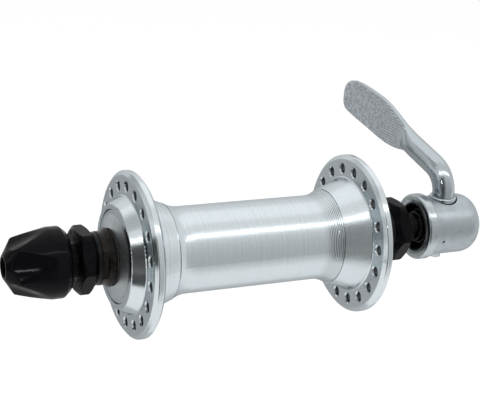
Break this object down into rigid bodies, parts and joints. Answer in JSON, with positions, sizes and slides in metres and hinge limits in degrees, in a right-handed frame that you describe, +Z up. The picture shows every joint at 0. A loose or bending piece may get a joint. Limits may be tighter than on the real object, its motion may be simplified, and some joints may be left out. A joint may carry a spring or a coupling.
{
  "type": "bicycle front hub",
  "caption": "Drilled flanged wheel hub with cup-and-cone bearings on a hollow axle, and a skewer with an enclosed cam lever and a fluted adjusting nut.",
  "frame": {"origin": "middle of the hub on the axle's line, halfway between the locknut faces", "axes": "+Y along the axle towards the cam lever, +Z up along the cam shaft, -X the way the closed lever points"},
  "size_m": [0.0748, 0.145, 0.055],
  "materials": {
    "shell": "fine turned and polished",
    "axle": "black, threaded",
    "rod": "bright zinc plated",
    "nut": "glossy black",
    "insert": "plated",
    "housing": "satin",
    "face_ring": "bright, toothed face",
    "lever": "satin, forged",
    "cup": "ground race",
    "balls": "polished",
    "cone": "blackened",
    "seal": "matt",
    "cap": "pressed, satin",
    "washer": "black",
    "locknut": "black, toothed face",
    "spring": "black spring wire"
  },
  "bodies": {
    "axle": {"hollow_axle": "axle", "bearing_cone_left": "cone", "bearing_cone_right": "cone", "cone_seal_left": "seal", "cone_seal_right": "seal", "lock_washer_left": "washer", "lock_washer_right": "washer", "locknut_left": "locknut", "locknut_right": "locknut"},
    "shell": {"hub_shell": "shell", "bearing_cup_left": "cup", "bearing_cup_right": "cup", "dust_cap_left": "cap", "dust_cap_right": "cap"},
    "balls_left": {"bearing_balls_left": "balls"},
    "balls_right": {"bearing_balls_right": "balls"},
    "skewer_seat": {"skewer_spring_right": "spring"},
    "cam_head": {"cam_housing": "housing", "cam_face_ring": "face_ring"},
    "lever": {"cam_lever": "lever"},
    "rod": {"skewer_rod": "rod"},
    "nut_seat": {"skewer_spring_left": "spring"},
    "nut": {"adjusting_nut": "nut", "nut_insert": "insert"}
  },
  "joints": [
    {"name": "shell_spin", "type": "hinge", "parent": "axle", "child": "shell", "pos_m": [0, 0, 0], "axis": [0, 1, 0], "continuous": true},
    {"name": "balls_left_roll", "type": "hinge", "parent": "axle", "child": "balls_left", "pos_m": [0, -0.0335, 0], "axis": [0, 1, 0], "continuous": true},
    {"name": "balls_right_roll", "type": "hinge", "parent": "axle", "child": "balls_right", "pos_m": [0, 0.0335, 0], "axis": [0, 1, 0], "continuous": true},
    {"name": "skewer_slide", "type": "slide", "parent": "axle", "child": "skewer_seat", "axis": [0, 1, 0], "range_m": [-0.0048, 0.0011], "deforming": ["skewer_spring_right"]},
    {"name": "skewer_turn", "type": "hinge", "parent": "skewer_seat", "child": "cam_head", "pos_m": [0, 0.0648, 0], "axis": [0, 1, 0], "continuous": true},
    {"name": "lever_swing", "type": "hinge", "parent": "cam_head", "child": "lever", "pos_m": [0, 0.0648, 0], "axis": [0, 0, -1], "range_deg": [0, 180]},
    {"name": "rod_pull", "type": "slide", "parent": "cam_head", "child": "rod", "axis": [0, -1, 0], "range_m": [0, 0.0018]},
    {"name": "nut_travel", "type": "slide", "parent": "rod", "child": "nut_seat", "axis": [0, -1, 0], "range_m": [-0.001, 0.0048], "deforming": ["skewer_spring_left"]},
    {"name": "nut_turn", "type": "hinge", "parent": "nut_seat", "child": "nut", "pos_m": [0, -0.06, 0], "axis": [0, -1, 0], "range_deg": [-450, 2160]}
  ],
  "couplings": [
    {"joint": "balls_left_roll", "follows": "shell_spin", "ratio": 0.6002},
    {"joint": "balls_right_roll", "follows": "shell_spin", "ratio": 0.6002},
    {"joint": "rod_pull", "follows": "lever_swing", "m_per_rad": 0.00057296},
    {"joint": "nut_travel", "follows": "nut_turn", "m_per_rad": 0.00012732}
  ]
}
